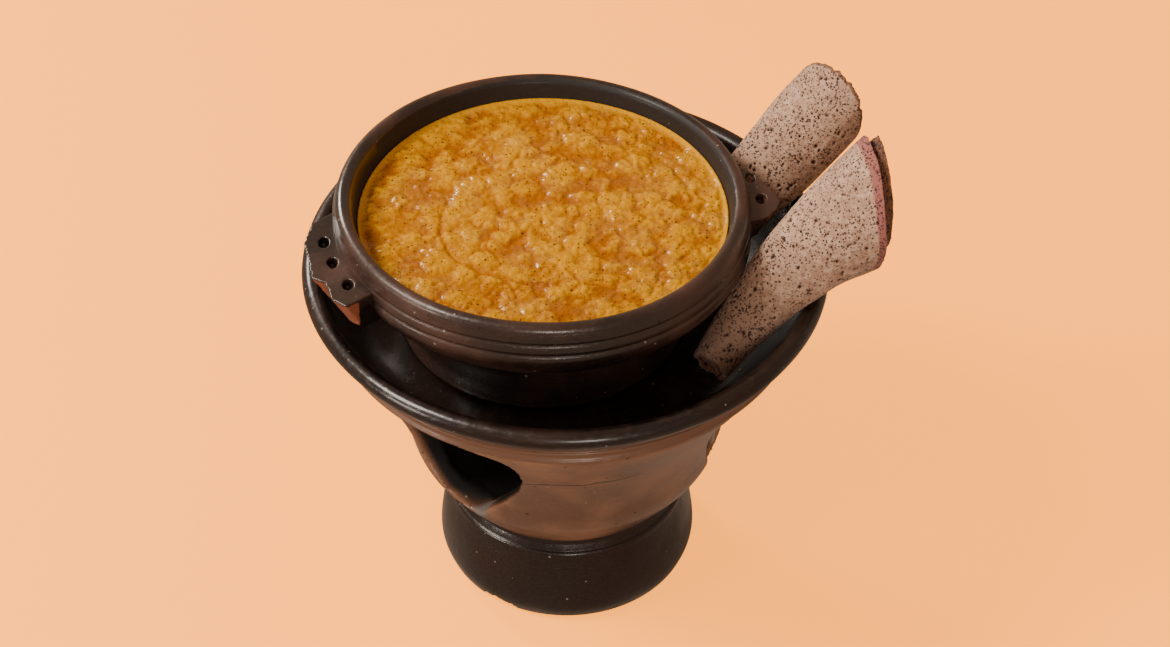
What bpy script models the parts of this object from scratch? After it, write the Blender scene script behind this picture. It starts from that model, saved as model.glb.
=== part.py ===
"""Two rolled injera in the dish of a black clay stand, beside a clay pot of stew.

Units are metres and +Z is up. The origin is the middle of the stand's flat foot.
Every object is one closed body: the stand, the pot, the stew and the two rolls.
"""

from math import cos, radians, sin, tau

import bmesh
import bpy
from mathutils import Vector

GAP = 0.0003
STEPS = 44

# Stand: foot, bowl, dish with a rolled lip. Profile points are (radius, height)
FOOT_RADIUS = 0.0545
FOOT_CURVE = ((0.0550, 0.0375), (0.0575, 0.0260), (0.0594, 0.0100), (0.0575, 0.0022))
NECK_RADIUS = 0.0515
NECK_CURVE = ((NECK_RADIUS, 0.0470), (NECK_RADIUS, 0.0430), (NECK_RADIUS + 0.0022, 0.0405))
BOWL = (
    (0.0555, 0.0505), (0.0690, 0.0700), (0.0745, 0.0900),
    (0.0822, 0.1100), (0.0933, 0.1300), (0.1025, 0.1465),
)
BEAD_RADIUS = 0.1043
BEAD_HEIGHTS = (0.1490, 0.1535)
BEAD_UNDERCUT = 0.0015
DISH_FLOOR = 0.1405
DISH_SLOPE = ((0.0745, DISH_FLOOR), (0.0860, 0.1440), (0.0965, 0.1525), (0.1040, 0.1630))
LIP_RADIUS = 0.1110
LIP_HEIGHT = 0.1705
LIP_TUBE = 0.0043

# Fire chamber, and its three hand-cut windows as (degrees from the tip, height)
WALL = 0.0110
CHAMBER_FLOOR = 0.0605
CHAMBER_FLOOR_RADIUS = 0.0480
CHAMBER_ROOF = ((0.0680, 0.1320), (0.0800, 0.1350), (0.0870, 0.1390))
WINDOW_TOP = 0.1470
WINDOW_ROOF_SLOPE = 0.48
WINDOW_REACH = (0.0300, 0.1400)
LEFT_WINDOW = (
    (0.0, 0.0635), (6.5, 0.0700), (12.3, 0.0817), (18.5, 0.0922), (23.3, 0.1026), (26.6, 0.1130),
    (28.3, 0.1250), (27.4, 0.1370), (23.0, 0.1440), (13.0, 0.1468), (-3.0, 0.1470), (-11.0, 0.1462),
    (-16.0, 0.1430), (-18.0, 0.1340), (-20.5, 0.1150), (-22.0, 0.1000), (-21.5, 0.0880),
    (-17.5, 0.0785), (-11.5, 0.0712), (-5.5, 0.0660),
)
HALF_WINDOW = (
    (5.5, 0.0730), (12.2, 0.0891), (18.0, 0.1040), (23.4, 0.1175),
    (28.8, 0.1320), (31.0, 0.1410), (27.5, 0.1462), (14.0, 0.1470),
)
EVEN_WINDOW = ((0.0, 0.0680), *HALF_WINDOW, *((-turn, height) for turn, height in HALF_WINDOW[::-1]))
WINDOWS = ((229.0, LEFT_WINDOW), (343.0, EVEN_WINDOW), (106.0, EVEN_WINDOW))
CHIP_AZIMUTH = 237.0
CHIP_SIZE = (0.0075, 0.0100, 0.0045)
CHIP_TILT = (12.0, -24.0)

# Pot: foot ring, belly, two grooves and a round crest. It leans, with its foot flat
POT_X = -0.0100
POT_FOOT = DISH_FLOOR + GAP
POT_FOOT_CURVE = ((0.0600, 0.1510), (0.0630, POT_FOOT + 0.0015), (0.0618, POT_FOOT))
POT_NECK = (0.0590, 0.1580)
BELLY = ((0.0645, 0.1650), (0.0775, 0.1750), (0.0865, 0.1835), (0.0906, 0.1900))
RIM_RADIUS = 0.0906
RIM_TAPER = 0.08
GROOVES = (0.1950, 0.2003)
GROOVE_DEPTH = 0.0007
GROOVE_WIDTH = 0.0010
CREST_RADIUS = 0.0855
CREST_HEIGHT = 0.2050
CREST_TUBE = 0.0035
POT_FLOOR = 0.1615
POT_INSIDE = (
    (0.0280, POT_FLOOR), (0.0400, 0.1630), (0.0620, 0.1690),
    (0.0745, 0.1800), (0.0795, 0.1925), (0.0812, 0.2000),
)
LEAN = (-0.0226, -0.0300)
LEAN_FROM = 0.1480

# Lugs: a thick block on each side, as (radius, degrees), with blind holes in its top
LUG_TOP = 0.1992
LEFT_LUG_BOTTOM = 0.1835
RIGHT_LUG_BOTTOM = 0.1880
LUG_ROOT = 0.0860
LUG_TAPER = 0.08
LEFT_LUG = (
    (0.0900, 182), (0.1000, 187), (0.1046, 194), (0.1050, 201),
    (0.1078, 206), (0.1035, 209), (0.1066, 215), (0.1045, 219),
)
RIGHT_LUG = (
    (0.0895, -3), (0.0983, -1), (0.1016, 1.7), (0.1045, 4.6),
    (0.1016, 10), (0.0985, 15.5), (0.0945, 19.5), (0.0905, 22.5),
)
LUG_HOLES = ((0.0958, 194.5), (0.0958, 203.0), (0.0958, 212.5), (0.0958, 6.5), (0.0943, 15.5))
HOLE_RADIUS = 0.0027
HOLE_DEPTH = 0.0050

# Stew: level surface with stirred rings
STEW_CLEARANCE = 0.0005
STEW_LEVEL = 0.1962
STEW_RINGS = 13
STIR_PITCH = 0.0135
STIR_HEIGHT = 0.0007

# Rolls: a thin sheet wound into an open, tapering tube, with its half width and half depth
# at the lower end, the middle and the mouth. Each inner turn ends further out by the stagger
SHEET = 0.0026
WINDING = SHEET + 0.0006
TURNS = 1.55
SEGMENTS_PER_TURN = 26
STATIONS = 9
PEEL_FROM = 0.66
PEEL_TURN = 0.11
FACING = Vector((0.0, -0.755, 0.656))
FRONT_ROLL = {
    "low": (0.0617, -0.0482, 0.1528), "high": (0.1299, -0.0108, 0.2148), "bow": (0.0049, 0.0007),
    "widths": (0.0097, 0.0170, 0.0228), "depths": (0.0098, 0.0106, 0.0216), "stagger": 0.0035,
    "slant_low": (0.05, 0.50), "slant_high": (-0.73, 0.30), "seam": -32.0, "peel": 0.0030,
}
BACK_ROLL = {
    "low": (0.0640, 0.0316, 0.1594), "high": (0.1141, 0.0537, 0.2135), "bow": (0.0, 0.0),
    "widths": (0.0134, 0.0193, 0.0208), "depths": (0.0098, 0.0110, 0.0200), "stagger": 0.0025,
    "slant_low": (0.0, 0.20), "slant_high": (-0.17, 0.93), "seam": 250.0, "peel": 0.0,
}


def clear_scene():
    for obj in list(bpy.data.objects):
        bpy.data.objects.remove(obj, do_unlink=True)


def new_collection(name):
    collection = bpy.data.collections.new(name)
    bpy.context.scene.collection.children.link(collection)
    return collection


def finish(name, color, roughness):
    material = bpy.data.materials.new(name)
    material.use_nodes = True
    shader = material.node_tree.nodes["Principled BSDF"]
    shader.inputs["Base Color"].default_value = (*color, 1.0)
    shader.inputs["Roughness"].default_value = roughness
    return material


def polar(radius, degrees, height=0.0):
    return Vector((radius * cos(radians(degrees)), radius * sin(radians(degrees)), height))


def arc(centre, radius, start, end, count):
    """Points of an arc in the profile plane, from one angle to the other in degrees."""
    angles = [radians(start + (end - start) * i / count) for i in range(count + 1)]
    return [(centre[0] + radius * cos(a), centre[1] + radius * sin(a)) for a in angles]


def smooth_through(points, per_span=2):
    """A Catmull-Rom curve through the given profile points."""
    ends = [points[0], *points, points[-1]]
    curve = []
    for a, b, c, d in zip(ends, ends[1:], ends[2:], ends[3:]):
        for step in range(per_span):
            t = step / per_span
            curve.append(tuple(
                0.5 * (2 * q + (r - p) * t + (2 * p - 5 * q + 4 * r - s) * t**2 + (3 * q - p - 3 * r + s) * t**3)
                for p, q, r, s in zip(a, b, c, d)
            ))
    return curve + [points[-1]]


def smoothstep(low, high, value):
    t = min(max((value - low) / (high - low), 0.0), 1.0)
    return t * t * (3.0 - 2.0 * t)


def through_three(values, along):
    """The curve that takes three values at the start, middle and end of 0 to 1."""
    start, middle, end = values
    return (
        start * (1.0 - along) * (1.0 - 2.0 * along)
        + middle * 4.0 * along * (1.0 - along)
        + end * along * (2.0 * along - 1.0)
    )


def add_object(name, mesh, collection, material=None):
    obj = bpy.data.objects.new(name, mesh)
    if material:
        mesh.materials.append(material)
    collection.objects.link(obj)
    return obj


def turned(name, profile, collection, material=None):
    """A closed body from a profile that runs from the axis, down the outside, back to the axis."""
    mesh = bpy.data.meshes.new(name)
    mesh.from_pydata([(r, 0.0, z) for r, z in profile], [(i, i + 1) for i in range(len(profile) - 1)], [])
    obj = add_object(name, mesh, collection, material)
    screw = obj.modifiers.new("Turning", "SCREW")
    screw.steps = screw.render_steps = STEPS
    screw.use_merge_vertices = True
    screw.merge_threshold = 0.00002
    screw.use_smooth_shade = True
    return obj


def bake(obj):
    """Replace an object's mesh by its evaluated one, so that its points can be moved."""
    graph = bpy.context.evaluated_depsgraph_get()
    mesh = bpy.data.meshes.new_from_object(obj.evaluated_get(graph), depsgraph=graph)
    obj.modifiers.clear()
    obj.data = mesh
    return obj


def boolean(obj, operation, other):
    modifier = obj.modifiers.new(f"{operation.title()} {other.name}", "BOOLEAN")
    modifier.operation = operation
    modifier.solver = "EXACT"
    modifier.object = other


def as_cutter(obj):
    obj.hide_render = True
    obj.display_type = "WIRE"
    return obj


def prism(name, outline, direction, collection):
    """A closed prism of a flat outline, pushed along a direction."""
    mesh = bpy.data.meshes.new(name)
    bm = bmesh.new()
    face = bm.faces.new([bm.verts.new(point) for point in outline])
    pushed = bmesh.ops.extrude_face_region(bm, geom=[face])["geom"]
    top = [item for item in pushed if isinstance(item, bmesh.types.BMVert)]
    bmesh.ops.translate(bm, verts=top, vec=direction)
    bmesh.ops.recalc_face_normals(bm, faces=bm.faces[:])
    bm.to_mesh(mesh)
    bm.free()
    return add_object(name, mesh, collection)


def stand_profile():
    lip = arc((LIP_RADIUS, LIP_HEIGHT), LIP_TUBE, 188, -62, 9)
    beads = [(BEAD_RADIUS - BEAD_UNDERCUT / 2.0, sum(BEAD_HEIGHTS) / 2.0 + 0.0035)]
    for height in reversed(BEAD_HEIGHTS):
        beads += [(BEAD_RADIUS, height), (BEAD_RADIUS - BEAD_UNDERCUT, height - BEAD_UNDERCUT)]
    bowl = smooth_through(BOWL)[::-1]
    foot = smooth_through(FOOT_CURVE)
    return [
        (0.0, DISH_FLOOR), *smooth_through(DISH_SLOPE), *lip, *beads, *bowl, *NECK_CURVE,
        *foot, (FOOT_RADIUS, 0.0), (0.0, 0.0),
    ]


def chamber_profile():
    lowest, highest = CHAMBER_FLOOR + 0.006, CHAMBER_ROOF[-1][1] - 0.002
    wall = [(r - WALL, z) for r, z in smooth_through(BOWL)[::-1] if lowest < z < highest]
    return [
        (0.0, CHAMBER_ROOF[0][1]), *smooth_through(CHAMBER_ROOF), *wall,
        (CHAMBER_FLOOR_RADIUS, CHAMBER_FLOOR), (0.0, CHAMBER_FLOOR),
    ]


def window_cutter(name, tip, outline, collection):
    """A wedge that widens outwards from the axis, so that it cuts the wall squarely. Its roof falls inwards."""
    lowest = min(height for _, height in outline)
    bm = bmesh.new()
    rings, centres = [], []
    for reach in WINDOW_REACH:
        ring = []
        for turn, height in outline:
            share = (height - lowest) / (WINDOW_TOP - lowest)
            drop = WINDOW_ROOF_SLOPE * share * (BOWL[-1][0] - reach)
            ring.append(bm.verts.new(polar(reach, tip + turn, height - drop)))
        rings.append(ring)
        centres.append(bm.verts.new(polar(reach, tip, (WINDOW_TOP + lowest) / 2.0)))
    for i in range(len(outline)):
        j = (i + 1) % len(outline)
        bm.faces.new((rings[0][i], rings[0][j], rings[1][j], rings[1][i]))
        for ring, centre in zip(rings, centres):
            bm.faces.new((ring[i], ring[j], centre))
    bmesh.ops.recalc_face_normals(bm, faces=bm.faces[:])
    mesh = bpy.data.meshes.new(name)
    bm.to_mesh(mesh)
    bm.free()
    return as_cutter(add_object(name, mesh, collection))


def foot_chip(collection):
    """A small wedge that knocks the chip out of the foot's front edge."""
    width, depth, height = CHIP_SIZE
    corners = [
        (-depth, -width, -height), (depth, -width * 0.6, -height),
        (depth, width, -height), (-depth, width * 0.7, -height),
    ]
    chip = as_cutter(prism("foot_chip", corners, (0.0, 0.0, 2.0 * height), collection))
    chip.location = polar(FOOT_RADIUS + depth, CHIP_AZIMUTH)
    chip.rotation_euler = (radians(CHIP_TILT[0]), radians(CHIP_TILT[1]), radians(CHIP_AZIMUTH))
    return chip


def make_stand(parts, cutters, clay):
    stand = turned("stand", stand_profile(), parts, clay)
    boolean(stand, "DIFFERENCE", as_cutter(turned("chamber", chamber_profile(), cutters)))
    for tip, outline in WINDOWS:
        boolean(stand, "DIFFERENCE", window_cutter(f"window_{tip:.0f}", tip, outline, cutters))
    boolean(stand, "DIFFERENCE", foot_chip(cutters))
    return stand


def pot_profile():
    crest = arc((CREST_RADIUS, CREST_HEIGHT), CREST_TUBE, 172, 5, 7)
    rim = []
    for height in reversed(GROOVES):
        radius = RIM_RADIUS - RIM_TAPER * (height - GROOVES[0])
        rim += [(radius, height + GROOVE_WIDTH), (radius - GROOVE_DEPTH, height), (radius, height - GROOVE_WIDTH)]
    belly = smooth_through([POT_NECK, *BELLY])[::-1]
    return [
        (0.0, POT_FLOOR), *smooth_through(POT_INSIDE), *crest, *rim, *belly, *POT_FOOT_CURVE, (0.0, POT_FOOT),
    ]


def lean_share(height):
    """How much of the pot's lean is felt at a height: none at its foot, all at its crest."""
    return smoothstep(LEAN_FROM, CREST_HEIGHT, height)


def lean(vertices):
    """Tip the pot's body, while its foot stays flat."""
    for vertex in vertices:
        tilt = LEAN[0] * vertex.co.x + LEAN[1] * vertex.co.y
        vertex.co.z += lean_share(vertex.co.z) * tilt


def lug(name, rim, bottom, collection):
    """A block that grows from the pot's wall, with its underside drawn in like a wedge."""
    first, last = rim[0][1], rim[-1][1]
    root = [polar(LUG_ROOT, degrees, LUG_TOP) for degrees in (last, (first + last) / 2.0, first)]
    outline = [polar(radius, degrees, LUG_TOP) for radius, degrees in rim] + root
    block = prism(name, outline, (0.0, 0.0, bottom - LUG_TOP), collection)
    for vertex in block.data.vertices:
        if vertex.co.z < (LUG_TOP + bottom) / 2.0:
            vertex.co.xy *= 1.0 - LUG_TAPER * smoothstep(LUG_ROOT, LUG_ROOT + 0.02, vertex.co.xy.length)
    return block


def blind_hole(name, radius, azimuth, collection):
    mesh = bpy.data.meshes.new(name)
    bm = bmesh.new()
    radii = {"radius1": HOLE_RADIUS * 0.8, "radius2": HOLE_RADIUS * 1.05}
    bmesh.ops.create_cone(bm, cap_ends=True, segments=14, depth=2.0 * HOLE_DEPTH, **radii)
    bmesh.ops.translate(bm, verts=bm.verts[:], vec=polar(radius, azimuth, LUG_TOP))
    bm.to_mesh(mesh)
    bm.free()
    return add_object(name, mesh, collection)


def make_pot(parts, cutters, clay):
    pot = bake(turned("pot", pot_profile(), parts, clay))
    lean(pot.data.vertices)
    pot.location.x = POT_X
    helpers = [
        ("UNION", lug("left_lug", LEFT_LUG, LEFT_LUG_BOTTOM, cutters)),
        ("UNION", lug("right_lug", RIGHT_LUG, RIGHT_LUG_BOTTOM, cutters)),
    ]
    for radius, azimuth in LUG_HOLES:
        helpers.append(("DIFFERENCE", blind_hole(f"hole_{azimuth:.0f}", radius, azimuth, cutters)))
    for operation, helper in helpers:
        lean(helper.data.vertices)
        helper.location.x = POT_X
        boolean(pot, operation, as_cutter(helper))
    return pot


def wall_radius(height):
    """The pot's inner radius at a height of its own, before it leans."""
    points = [*POT_INSIDE, (CREST_RADIUS - CREST_TUBE, CREST_HEIGHT)]
    for (r_low, z_low), (r_high, z_high) in zip(points, points[1:]):
        if height <= z_high:
            return r_low + (r_high - r_low) * (height - z_low) / (z_high - z_low)
    return points[-1][0]


def stew_edge(angle):
    """Where the level stew meets the leaning wall, in one direction."""
    tilt = LEAN[0] * cos(angle) + LEAN[1] * sin(angle)
    radius = wall_radius(STEW_LEVEL)
    for _ in range(4):
        radius = wall_radius(STEW_LEVEL - lean_share(STEW_LEVEL) * tilt * radius)
    return radius - STEW_CLEARANCE


def stir_relief(radius, angle):
    """Low rings left by a stirring spoon, uneven round the pot."""
    ring = sin(tau * radius / STIR_PITCH + angle + 0.6 * sin(2.0 * angle))
    swell = sin(3.0 * angle + radius / 0.011) * sin(radius / 0.017 + 1.0)
    return STIR_HEIGHT * (0.7 * ring + 0.6 * swell)


def make_stew(parts, food):
    side = [(r - STEW_CLEARANCE, z + STEW_CLEARANCE / 2.0) for r, z in smooth_through(POT_INSIDE)]
    side = [(r, z) for r, z in side if z < STEW_LEVEL - 0.004][::-1]
    rim = wall_radius(STEW_LEVEL) - STEW_CLEARANCE
    top = [(rim * i / STEW_RINGS, STEW_LEVEL) for i in range(STEW_RINGS + 1)]
    stew = bake(turned("stew", [*top, *side, (0.0, POT_FLOOR + STEW_CLEARANCE)], parts, food))
    surface = [vertex for vertex in stew.data.vertices if vertex.co.z > STEW_LEVEL - 1e-5]
    lean([vertex for vertex in stew.data.vertices if vertex.co.z <= STEW_LEVEL - 1e-5])
    for vertex in surface:
        share = vertex.co.xy.length / rim
        if share > 1e-6:
            angle = -Vector((1.0, 0.0)).angle_signed(vertex.co.xy)
            vertex.co.xy *= 1.0 + share * (stew_edge(angle) / rim - 1.0)
            vertex.co.z += stir_relief(share * rim, angle) * smoothstep(1.0, 0.85, share)
    stew.location.x = POT_X
    return stew


def make_roll(name, roll, parts, bread):
    """A tapering spiral of oval section with slanted ends, thickened into a sheet."""
    low, high = Vector(roll["low"]), Vector(roll["high"])
    axis = (high - low).normalized()
    near = (FACING - FACING.dot(axis) * axis).normalized()
    side = axis.cross(near)
    length = (high - low).length
    bm = bmesh.new()
    rows = []
    for station in range(STATIONS):
        along = station / (STATIONS - 1)
        middle = low - (side * roll["bow"][0] + near * roll["bow"][1]) * 4.0 * along * (1.0 - along)
        width = through_three(roll["widths"], along) - SHEET / 2.0
        depth = through_three(roll["depths"], along) - SHEET / 2.0
        row = []
        for segment in range(round(TURNS * SEGMENTS_PER_TURN) + 1):
            wound = segment / SEGMENTS_PER_TURN
            angle = radians(roll["seam"]) + tau * wound
            lifted = roll["peel"] * smoothstep(PEEL_FROM, 1.0, along) * smoothstep(PEEL_TURN, 0.0, wound)
            across = (width - WINDING * wound + lifted) * cos(angle)
            facing = (depth - WINDING * wound + lifted) * sin(angle)
            start = roll["slant_low"][0] * across + roll["slant_low"][1] * facing
            end = length + roll["slant_high"][0] * across + roll["slant_high"][1] * facing
            end += roll["stagger"] * wound
            place = middle + axis * (start + (end - start) * along)
            row.append(bm.verts.new(place + across * side + facing * near))
        rows.append(row)
    for lower, upper in zip(rows, rows[1:]):
        for a, b, c, d in zip(lower, lower[1:], upper[1:], upper):
            bm.faces.new((a, b, c, d))
    for face in bm.faces:
        face.smooth = True
    mesh = bpy.data.meshes.new(name)
    bm.to_mesh(mesh)
    bm.free()
    obj = add_object(name, mesh, parts, bread)
    thick = obj.modifiers.new("Sheet", "SOLIDIFY")
    thick.thickness = SHEET
    thick.offset = 0.0
    return obj


def main():
    clear_scene()
    parts = new_collection("rolled_injera_on_clay_stand")
    cutters = new_collection("cutters")
    clay = finish("black_clay", (0.035, 0.024, 0.020), 0.38)
    food = finish("golden_stew", (0.62, 0.30, 0.025), 0.35)
    bread = finish("injera", (0.45, 0.33, 0.27), 0.80)
    make_stand(parts, cutters, clay)
    make_pot(parts, cutters, clay)
    make_stew(parts, food)
    make_roll("roll_front", FRONT_ROLL, parts, bread)
    make_roll("roll_back", BACK_ROLL, parts, bread)


main()
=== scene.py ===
"""Two rolled injera in the dish of a black clay stand, beside a clay pot of golden stew.

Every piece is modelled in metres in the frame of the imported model: +Z is up and the
origin is the middle of the stand's foot, on the surface that it stands on.
"""

import logging
import math
import random
from collections.abc import Callable, Iterable, Sequence
from dataclasses import dataclass, field
from enum import Enum

import bmesh
import bpy
from mathutils import Euler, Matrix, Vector, noise
from mathutils.kdtree import KDTree


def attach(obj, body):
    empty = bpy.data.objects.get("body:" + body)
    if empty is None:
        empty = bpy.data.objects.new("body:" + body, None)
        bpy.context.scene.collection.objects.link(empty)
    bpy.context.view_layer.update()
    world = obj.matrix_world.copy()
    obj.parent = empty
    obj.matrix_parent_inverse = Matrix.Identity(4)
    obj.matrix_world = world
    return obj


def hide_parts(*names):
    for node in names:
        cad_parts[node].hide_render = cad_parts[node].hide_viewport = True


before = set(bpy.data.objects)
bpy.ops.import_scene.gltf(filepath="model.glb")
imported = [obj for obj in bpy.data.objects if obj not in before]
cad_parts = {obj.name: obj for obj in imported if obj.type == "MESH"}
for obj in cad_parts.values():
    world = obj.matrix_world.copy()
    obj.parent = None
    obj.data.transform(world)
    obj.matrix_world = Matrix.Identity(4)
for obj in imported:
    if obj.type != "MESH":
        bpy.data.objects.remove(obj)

log = logging.getLogger("rolled_injera")

Point = tuple[float, float]
Colour = tuple[float, float, float]


class Slot(Enum):
    """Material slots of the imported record."""

    CLAY = "black_clay"
    STEW = "golden_stew"
    INJERA = "injera"


def smoothstep(low: float, high: float, value: float) -> float:
    """Ease from 0 to 1 between two values.

    Args:
        low: Value that gives 0.
        high: Value that gives 1.
        value: Value to place between them.

    Returns:
        The eased share.
    """
    share = min(max((value - low) / (high - low), 0.0), 1.0)
    return share * share * (3.0 - 2.0 * share)


def polar(radius: float, degrees: float, height: float = 0.0) -> Vector:
    """Turn a radius, an azimuth and a height into a place.

    Args:
        radius: Distance from the axis.
        degrees: Azimuth from +X towards +Y.
        height: Height above the ground.

    Returns:
        The place as a vector.
    """
    angle = math.radians(degrees)
    return Vector((radius * math.cos(angle), radius * math.sin(angle), height))


def arc(centre: Point, radius: float, start: float, end: float, count: int) -> list[Point]:
    """Run along a circle in the profile plane.

    Args:
        centre: Middle of the circle as radius and height.
        radius: Radius of the circle.
        start: First angle in degrees.
        end: Last angle in degrees.
        count: Number of steps.

    Returns:
        The points of the arc.
    """
    angles = [math.radians(start + (end - start) * i / count) for i in range(count + 1)]
    return [(centre[0] + radius * math.cos(a), centre[1] + radius * math.sin(a)) for a in angles]


def smooth_through(points: Sequence[Point], per_span: int = 6) -> list[Point]:
    """Draw a Catmull-Rom curve through profile points.

    Args:
        points: Points that the curve passes.
        per_span: Steps between two neighbours.

    Returns:
        The points of the curve, with both ends.
    """
    ends = [points[0], *points, points[-1]]
    curve: list[Point] = []
    for a, b, c, d in zip(ends, ends[1:], ends[2:], ends[3:]):
        for step in range(per_span):
            t = step / per_span
            curve.append(tuple(
                0.5 * (2 * q + (r - p) * t + (2 * p - 5 * q + 4 * r - s) * t**2 + (3 * q - p - 3 * r + s) * t**3)
                for p, q, r, s in zip(a, b, c, d)
            ))
    return [*curve, points[-1]]


def through_three(values: Sequence[float], along: float) -> float:
    """Follow the parabola through a start, a middle and an end value.

    Args:
        values: The three values.
        along: Place between 0 and 1.

    Returns:
        The value at that place.
    """
    start, middle, end = values
    return (
        start * (1.0 - along) * (1.0 - 2.0 * along)
        + middle * 4.0 * along * (1.0 - along)
        + end * along * (2.0 * along - 1.0)
    )


def turn_on_wheel(profile: Sequence[Point], steps: int) -> bmesh.types.BMesh:
    """Spin a profile round the vertical axis, as on a potter's wheel.

    Args:
        profile: Points from the axis, down the outside and back to the axis.
        steps: Number of segments round the axis.

    Returns:
        The closed turned shape.
    """
    bm = bmesh.new()
    verts = [bm.verts.new((r, 0.0, z)) for r, z in profile]
    edges = [bm.edges.new(pair) for pair in zip(verts, verts[1:])]
    bmesh.ops.spin(
        bm, geom=[*verts, *edges], cent=(0.0, 0.0, 0.0), axis=(0.0, 0.0, 1.0),
        angle=math.tau, steps=steps, use_merge=True,
    )
    bmesh.ops.remove_doubles(bm, verts=bm.verts[:], dist=2e-6)
    bmesh.ops.recalc_face_normals(bm, faces=bm.faces[:])
    return bm


def push_outline(outline: Sequence[Vector], direction: Vector) -> bmesh.types.BMesh:
    """Extrude a flat outline into a closed block.

    Args:
        outline: Corners of the outline.
        direction: Way and distance of the extrusion.

    Returns:
        The closed block.
    """
    bm = bmesh.new()
    face = bm.faces.new([bm.verts.new(corner) for corner in outline])
    pushed = bmesh.ops.extrude_face_region(bm, geom=[face])["geom"]
    bmesh.ops.translate(bm, verts=[v for v in pushed if isinstance(v, bmesh.types.BMVert)], vec=direction)
    bmesh.ops.recalc_face_normals(bm, faces=bm.faces[:])
    return bm


def raise_object(name: str, bm: bmesh.types.BMesh, material: bpy.types.Material | None = None) -> bpy.types.Object:
    """Put a bmesh into the scene as a smooth object.

    Args:
        name: Name of the new object.
        bm: Shape, which is freed.
        material: Finish, or None for a cutter.

    Returns:
        The new object at the origin.
    """
    mesh = bpy.data.meshes.new(name)
    bm.to_mesh(mesh)
    bm.free()
    mesh.shade_smooth()
    if material:
        mesh.materials.append(material)
    obj = bpy.data.objects.new(name, mesh)
    bpy.context.scene.collection.objects.link(obj)
    return obj


def settle(obj: bpy.types.Object) -> bpy.types.Object:
    """Apply an object's modifiers to its mesh.

    Args:
        obj: Object with modifiers.

    Returns:
        The same object without modifiers.
    """
    graph = bpy.context.evaluated_depsgraph_get()
    mesh = bpy.data.meshes.new_from_object(obj.evaluated_get(graph), depsgraph=graph)
    obj.modifiers.clear()
    old, obj.data = obj.data, mesh
    bpy.data.meshes.remove(old)
    mesh.shade_smooth()
    return obj


def carve(obj: bpy.types.Object, cutters: Iterable[bpy.types.Object]) -> bpy.types.Object:
    """Cut shapes out of an object and throw the cutters away.

    Args:
        obj: Object to cut.
        cutters: Closed shapes to take away.

    Returns:
        The cut object.
    """
    cutters = list(cutters)
    for cutter in cutters:
        cut = obj.modifiers.new(cutter.name, "BOOLEAN")
        cut.operation = "DIFFERENCE"
        cut.solver = "EXACT"
        cut.object = cutter
    settle(obj)
    for cutter in cutters:
        bpy.data.objects.remove(cutter, do_unlink=True)
    return obj


def soften(obj: bpy.types.Object, grain: float, passes: int) -> bpy.types.Object:
    """Round every edge as a wet hand does, by remeshing and smoothing.

    Args:
        obj: Closed object.
        grain: Size of the new faces.
        passes: Number of smoothing passes.

    Returns:
        The softened object.
    """
    remesh = obj.modifiers.new("Clay grain", "REMESH")
    remesh.mode = "VOXEL"
    remesh.voxel_size = grain
    smooth = obj.modifiers.new("Wet hand", "SMOOTH")
    smooth.factor = 0.5
    smooth.iterations = passes
    return settle(obj)


def mark(obj: bpy.types.Object, name: str, rule: Callable[[Vector], float]) -> None:
    """Write a value between 0 and 1 on each point for the material to read.

    Args:
        obj: Object to mark.
        name: Name of the attribute.
        rule: Gives the value at a place.
    """
    values = [rule(vertex.co) for vertex in obj.data.vertices]
    obj.data.attributes.new(name, "FLOAT", "POINT").data.foreach_set("value", values)


def hand_over(obj: bpy.types.Object, node: str) -> bpy.types.Object:
    """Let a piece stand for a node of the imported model.

    Args:
        obj: Finished piece.
        node: Name of the node that it replaces.

    Returns:
        The piece.
    """
    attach(obj, "root")
    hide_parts(node)
    log.info("%s: %d faces", obj.name, len(obj.data.polygons))
    return obj


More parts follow.
